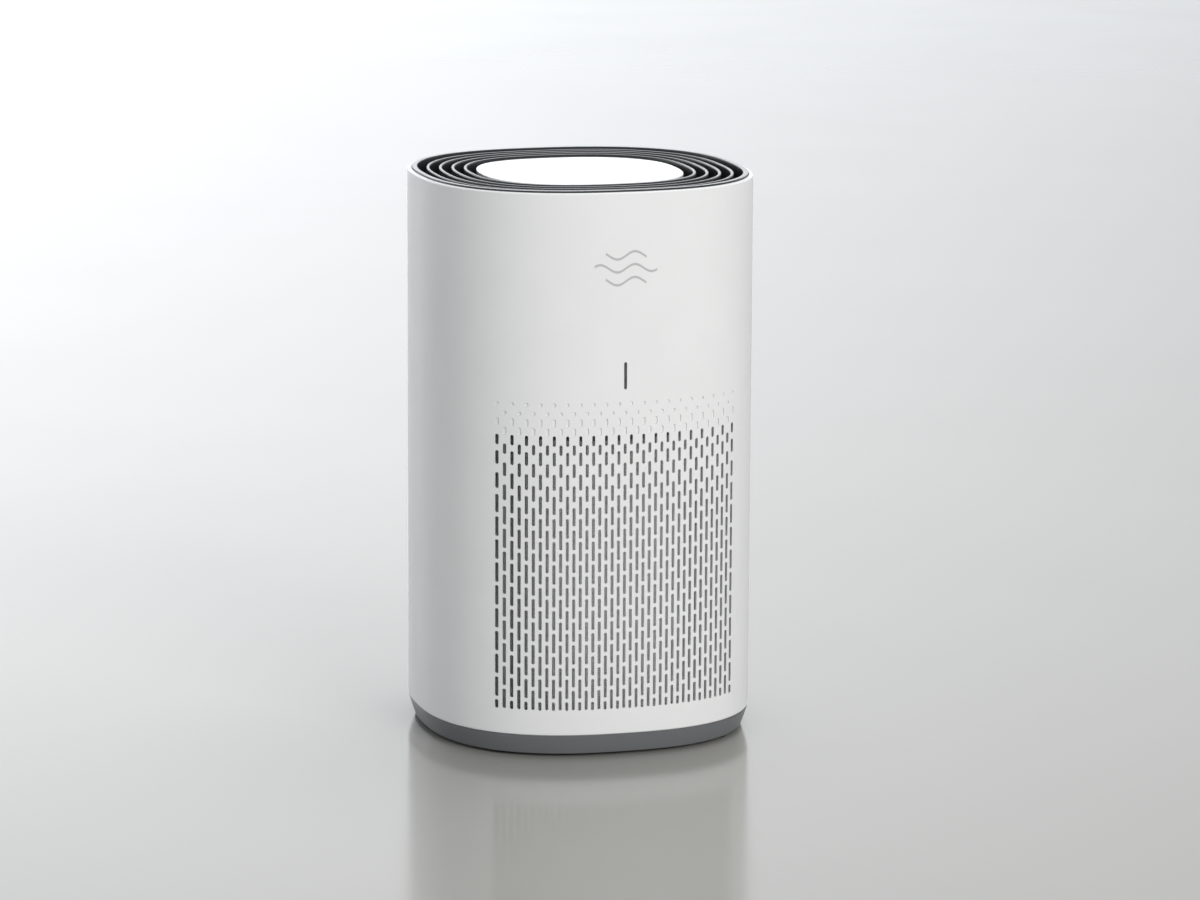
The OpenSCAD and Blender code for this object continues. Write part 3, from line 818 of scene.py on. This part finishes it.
def add_edge(surface, stations, outer, inner, end_z, top):
    """Rounds the shell's outer edge and closes the wall at its top or bottom."""
    side = 1 if top else -1
    below = outer
    for i in range(1, FILLET_STEPS + 1):
        angle = math.pi / 2 * i / FILLET_STEPS
        inset = SHELL_FILLET * (1 - math.cos(angle))
        z = end_z - side * SHELL_FILLET * (1 - math.sin(angle))
        ring = []
        for (x, y), _ in stations:
            nx, ny = plan_normal(x, y)
            normal = outward(x, y, math.cos(angle), side * math.sin(angle))
            ring.append(surface.add((x - nx * inset, y - ny * inset, z), normal))
        surface.band(below, ring, not top)
        below = ring
    flat = [surface.add((x, y, end_z), Vector((0, 0, side))) for _, (x, y) in stations]
    surface.band(below, flat, not top)
    lip = [surface.add((x, y, end_z), outward(x, y, -1)) for _, (x, y) in stations]
    surface.band(lip, inner, not top)


def build_shell():
    """The one-piece sleeve, with the slots of both walls and the indicator's slot."""
    surface = Surface()
    stations = outline_stations()
    levels, level_of = shell_levels()
    outer, inner = add_rings(surface, stations, levels)
    taken = add_slots(surface, outer, inner, level_of, True)
    taken |= add_slots(surface, outer, inner, level_of, False)
    left, low = (COLUMNS - 1) // 2, level_of[-1]
    add_indicator(surface, [cell_corners(rings, left, low, low + 1) for rings in (outer, inner)])
    taken |= {(left, low, "out"), (left, low, "in")}
    add_plain_faces(surface, outer, inner, taken)
    add_edge(surface, stations, outer[-1], inner[-1], SHELL_HIGH.z, True)
    add_edge(surface, stations, outer[0], inner[0], SHELL_LOW.z, False)
    new_object("shell", surface.points, surface.faces, "shell_white", "outer_shell", surface.normals)


build_shell()


# ---------------------------------------------------------------- plinth
def plinth_profile():
    """From the opening's edge out along the underside, up the taper, and back over the inside."""
    top = PLINTH_HIGH - REVEAL
    slope = PLINTH_IN / (top - PLINTH_LOW)
    foot = HALF - PLINTH_IN - PLINTH_EDGE
    profile = [("round", OPENING_R, PLINTH_LOW + OPENING_EDGE)]
    profile += [("round", OPENING_R + OPENING_EDGE, PLINTH_LOW), ("plan", foot, PLINTH_LOW)]
    for i in range(1, 5):
        angle = math.pi / 2 * i / 4
        half = foot + PLINTH_EDGE * (1 + slope) * math.sin(angle)
        profile.append(("plan", half, PLINTH_LOW + PLINTH_EDGE * (1 - math.cos(angle))))
    rounding = [(0.35 * MM + slope * 0.3 * MM, 0.6 * MM), (0.45 * MM, 0.2 * MM), (0.75 * MM, 0)]
    profile += [("plan", HALF - inset, top - drop) for inset, drop in rounding]
    seat_rise = 0.05 * MM
    profile += [("plan", HALF - REVEAL, top), ("plan", HALF - REVEAL, PLINTH_HIGH)]
    upstand_in = UPSTAND_HALF - UPSTAND_WALL
    profile += [("plan", UPSTAND_HALF, PLINTH_HIGH + seat_rise), ("plan", UPSTAND_HALF, BASE_HIGH.z)]
    profile += [("plan", upstand_in, BASE_HIGH.z), ("plan", upstand_in, PLINTH_LOW + PLINTH_FLOOR)]
    collar = OPENING_R + COLLAR_WALL
    profile += [("round", collar, PLINTH_LOW + PLINTH_FLOOR), ("round", collar, COLLAR_TOP)]
    return profile + [("round", OPENING_R, COLLAR_TOP)]


def bore_cutter():
    """A closed cylinder along +Y, where the plinth is bored for the inlet."""
    steps = 48
    angles = [2 * math.pi * i / steps for i in range(steps)]
    ring = [(BORE_R * math.cos(angle), BORE_R * math.sin(angle)) for angle in angles]
    start = BORE_START
    points = [(start.x + x, start.y + y, start.z + z) for y in (0, BORE_LENGTH) for x, z in ring]
    faces = [(i, i + steps, (i + 1) % steps + steps, (i + 1) % steps) for i in range(steps)]
    faces += [tuple(range(steps)), tuple(reversed(range(steps, 2 * steps)))]
    mesh = bpy.data.meshes.new("inlet_bore")
    mesh.from_pydata(points, [], faces)
    cutter = bpy.data.objects.new("inlet_bore", mesh)
    scene.collection.objects.link(cutter)
    cutter.hide_render = True
    return cutter


def bake(piece):
    """Replaces a piece's mesh with what its modifiers make of it."""
    graph = bpy.context.evaluated_depsgraph_get()
    mesh = bpy.data.meshes.new_from_object(piece.evaluated_get(graph))
    piece.modifiers.clear()
    piece.data = mesh


def build_plinth():
    """The tapered plinth with its upstand and collar, and the bore of the inlet."""
    points, faces = loft(plinth_profile(), PLINTH_STEPS)
    piece = new_object("plinth", points, faces, "plinth_grey", "base", sharp=32)
    cutter = bore_cutter()
    cut = piece.modifiers.new("inlet_bore", "BOOLEAN")
    cut.operation = "DIFFERENCE"
    cut.solver = "EXACT"
    cut.object = cutter
    bake(piece)
    bpy.data.objects.remove(cutter)
    piece.data.set_sharp_from_angle(angle=math.radians(32))


def build_lugs():
    """The catches inside the opening, which hold the cover."""
    root, tip = OPENING_R + OPENING_EDGE, OPENING_R - LUG_DEPTH
    profile = [(root, LUG_LOW), (tip + LUG_EDGE, LUG_LOW), (tip, LUG_LOW + LUG_EDGE),
               (tip, LUG_HIGH - LUG_EDGE), (tip + LUG_EDGE, LUG_HIGH), (root, LUG_HIGH)]
    steps = 12
    parts = []
    for k in range(LUGS):
        sections = []
        for i in range(steps + 1):
            turn = LUG_FIRST + 360 / LUGS * k - LUG_REACH / 2 + LUG_REACH * i / steps
            c, s = math.cos(math.radians(turn)), math.sin(math.radians(turn))
            sections.append([(r * c, r * s, z) for r, z in profile])
        parts.append(stacked(sections))
    points, faces = join_parts(parts)
    new_object("cover_catches", points, faces, "plinth_grey", sharp=30)


def build_feet():
    """Four rubber feet with a grooved underside."""
    groove, edge, steps = 0.25 * MM, 0.5 * MM, 48
    profile = [("round", 0.6 * MM, groove), ("round", 2.0 * MM, groove), ("round", 2.2 * MM, 0.0)]
    profile += [("round", 3.4 * MM, 0.0), ("round", 3.6 * MM, groove)]
    profile += [("round", 4.6 * MM, groove), ("round", 4.8 * MM, 0.0)]
    profile += arc("round", FOOT_R - edge, edge, edge, -90, 0)
    profile += [("round", FOOT_R, FOOT_HIGH)]
    foot = capped_loft(profile, steps)
    places = [(x, y, 0) for x in (-FOOT_AT, FOOT_AT) for y in (-FOOT_AT, FOOT_AT)]
    points, faces = join_parts([moved(foot, place) for place in places])
    new_object("rubber_feet", points, faces, "foot_rubber", "feet", sharp=40)


build_plinth()
build_lugs()
build_feet()


# ---------------------------------------------------------------- top grille and panel
def rounded_bar(outer, inner, low, high, outer_radius, inner_radius):
    """Profile of a ring whose top edges are rounded."""
    profile = [("plan", inner, low), ("plan", outer, low)]
    profile += arc("plan", outer - outer_radius, high - outer_radius, outer_radius, 0, 90)
    profile += arc("plan", inner + inner_radius, high - inner_radius, inner_radius, 90, 180)
    return profile


def tray_profile():
    """The tray under the panel: an upright wall, and a floor with a hole in its middle."""
    floor = RIB_LOW + TRAY_FLOOR
    inside = TRAY_HALF - TRAY_WALL
    return [("plan", TRAY_HALF, RIB_LOW), ("plan", TRAY_HALF, PANEL_LOW.z),
            ("plan", inside, PANEL_LOW.z), ("plan", inside, floor),
            ("round", TRAY_HOLE_R, floor), ("round", TRAY_HOLE_R, RIB_LOW)]


def radial_rib(angle):
    """An upright rib under the rings, from the tray's wall into the rim."""
    edge, inside_panel, inside_rim = 0.3 * MM, 1 * MM, 1.5 * MM
    section = [(-RIB_HALF, RIB_LOW), (RIB_HALF, RIB_LOW), (RIB_HALF, RIB_HIGH - edge),
               (RIB_HALF - edge, RIB_HIGH), (edge - RIB_HALF, RIB_HIGH), (-RIB_HALF, RIB_HIGH - edge)]
    start = math.hypot(*plan_point(angle, PANEL_HALF - inside_panel))
    end = math.hypot(*plan_point(angle, RIM_HALF - inside_rim))
    return turned(stacked([[(r, y, z) for y, z in section] for r in (start, end)]), angle)


def build_grille():
    """The rim, its rings, the tray and the ribs that join them."""
    rim = rounded_bar(RIM_HALF, RIM_HALF - RIM_W, GRILLE_LOW.z, TOP_Z, 0.15 * MM, 0.6 * MM)
    parts = [loft(rim, TOP_STEPS)]
    for i in range(1, RINGS + 1):
        inner = RIM_HALF - RIM_W - i * RING_PITCH
        edge = 0.45 * RING_W
        ring = rounded_bar(inner + RING_W, inner, RIB_LOW + 1 * MM, RING_TOP, edge, edge)
        parts.append(loft(ring, TOP_STEPS))
    parts.append(loft(tray_profile(), TOP_STEPS))
    parts += [radial_rib(math.radians((k + 0.5) * 360 / RIBS)) for k in range(RIBS)]
    points, faces = join_parts(parts)
    new_object("grille", points, faces, "grille_grey", "top_grille", sharp=35)


def build_panel():
    """The touch panel: a thin plate with a rounded edge and a faintly dished top."""
    edge, chamfer = 0.7 * MM, 0.3 * MM
    middle, dish_start, dish_half = 1 * MM, PANEL_HALF - 6 * MM, 40 * MM
    profile = [("plan", middle, PANEL_LOW.z), ("plan", PANEL_HALF - chamfer, PANEL_LOW.z),
               ("plan", PANEL_HALF, PANEL_LOW.z + chamfer)]
    profile += arc("plan", PANEL_HALF - edge, PANEL_HIGH.z - edge, edge, 0, 90, 5)
    dish = [(dish_start, 0.05 * MM), (dish_half, 0.12 * MM), (middle, 0.15 * MM)]
    profile += [("plan", half, PANEL_HIGH.z - drop) for half, drop in dish]
    points, faces = capped_loft(profile, TOP_STEPS)
    new_object("touch_panel", points, faces, "panel_white", "control_panel", sharp=40)


build_grille()
build_panel()


# ---------------------------------------------------------------- indicator lens
def lens_window():
    """The part of the lens inside the shell's slot, with a domed front."""
    gap = 0.06 * MM
    half, reach = SLOT_HALF - gap, INDICATOR_LEN / 2 - gap
    front_y = -wall_depth(0, HALF) + 0.25 * MM
    dome = [(0, 0.35 * MM), (0.12 * MM, 0.12 * MM), (0.4 * MM, 0)]
    steps = [(0, -INNER + 0.2 * MM)] + [(inset, front_y + back) for inset, back in dome]
    sections = []
    for inset, y in steps:
        low, high = INDICATOR_Z - reach + inset, INDICATOR_Z + reach - inset
        outline = capsule(0, low, high, half - inset, 8)
        sections.append([(x, y, z) for x, z, _ in outline])
    return stacked(sections)


def lens_flange():
    """The lens's flange behind the shell's wall, a plate with cut corners."""
    low, high, half = LENS_LOW.z, LENS_HIGH.z, LENS_HIGH.x
    cut = 1 * MM
    outline = [(half, low + cut), (half, high - cut), (half - cut, high), (cut - half, high),
               (-half, high - cut), (-half, low + cut), (cut - half, low), (half - cut, low)]
    return stacked([[(x, y, z) for x, z in outline] for y in (LENS_HIGH.y, -INNER + 0.2 * MM)])


def build_lens():
    points, faces = join_parts([lens_window(), lens_flange()])
    new_object("indicator", points, faces, "lens_smoke", "indicator_lens", sharp=35)


build_lens()


# ---------------------------------------------------------------- floor, light and camera
def build_floor():
    """A plain pale table top, a little glossy."""
    reach = 12.0
    corners = [(-reach, -reach, 0), (reach, -reach, 0), (reach, reach, 0), (-reach, reach, 0)]
    mesh = bpy.data.meshes.new("floor")
    mesh.from_pydata(corners, [], [(0, 1, 2, 3)])
    base = (0.33, 0.326, 0.305)
    material, tree, principled = shader("table_top", base, 0.15)
    tone = ramp(tree, noise(tree, 3.0, 2.0), scaled(base, 0.98), base)
    link(tree, tone, principled.inputs["Base Color"])
    link(tree, ramp(tree, noise(tree, 5.0, 1.0), 0.145, 0.155), principled.inputs["Roughness"])
    mesh.materials.append(material)
    floor = bpy.data.objects.new("floor", mesh)
    scene.collection.objects.link(floor)


def area_light(name, place, size, power, colour=(1, 1, 1)):
    """A soft square light, aimed at the object's middle and kept out of reflections."""
    middle = Vector((0, 0, 0.18))
    data = bpy.data.lights.new(name, "AREA")
    data.shape = "RECTANGLE"
    data.size, data.size_y = size, size
    data.energy = power
    data.color = colour
    lamp = bpy.data.objects.new(name, data)
    lamp.location = place
    lamp.rotation_euler = (middle - Vector(place)).to_track_quat("-Z", "Y").to_euler()
    lamp.visible_glossy = False
    scene.collection.objects.link(lamp)


def build_world():
    """A soft studio dome: pale, and brighter low behind the object, which the table reflects."""
    glow, everywhere = 2.1, 0.36
    world = bpy.data.worlds.new("studio")
    scene.world = world
    world.use_nodes = True
    tree = world.node_tree
    background = tree.nodes["Background"]
    background.inputs["Color"].default_value = (0.95, 0.975, 1.0, 1)
    x, y, z = xyz(tree, "Generated")
    low = ramp(tree, z, 1.0, 0.0, 0.2, 0.5)
    back = ramp(tree, maths(tree, "MULTIPLY_ADD", y, 0.5, 0.5), 0.22, 1.0, 0.45, 0.95)
    side = ramp(tree, x, 1.0, 0.4, 0.1, 0.42)
    window = maths(tree, "MULTIPLY", maths(tree, "MULTIPLY", low, back), side)
    strength = maths(tree, "ADD", maths(tree, "MULTIPLY", window, glow), everywhere)
    link(tree, strength, background.inputs["Strength"])


def build_camera():
    """A long lens from the front left, a little above, at the view's own angles."""
    yaw, pitch, roll = 0.2801, 0.1902, -0.0049
    aim, distance = Vector((0.207, 0.251, 1.592)) * HALF, 31.38 * HALF
    level = math.cos(pitch)
    forward = Vector((level * math.sin(yaw), level * math.cos(yaw), -math.sin(pitch)))
    right = Vector((math.cos(yaw), -math.sin(yaw), 0))
    up = right.cross(forward)
    side = right * math.cos(roll) - up * math.sin(roll)
    top = right * math.sin(roll) + up * math.cos(roll)
    turn = Matrix((side, top, -forward)).transposed()
    data = bpy.data.cameras.new("camera")
    data.sensor_width = 36
    data.lens = 155.06
    data.clip_start = 0.1
    data.clip_end = 100
    camera = bpy.data.objects.new("camera", data)
    camera.matrix_world = Matrix.Translation(aim - forward * distance) @ turn.to_4x4()
    scene.collection.objects.link(camera)
    scene.camera = camera


build_floor()
build_world()
area_light("key", (0.72, -2.6, 1.3), 1.4, 49, (1.0, 0.985, 0.965))
area_light("top", (0.5, 0.4, 2.4), 1.5, 26)
build_camera()
scene.view_settings.view_transform = "Standard"
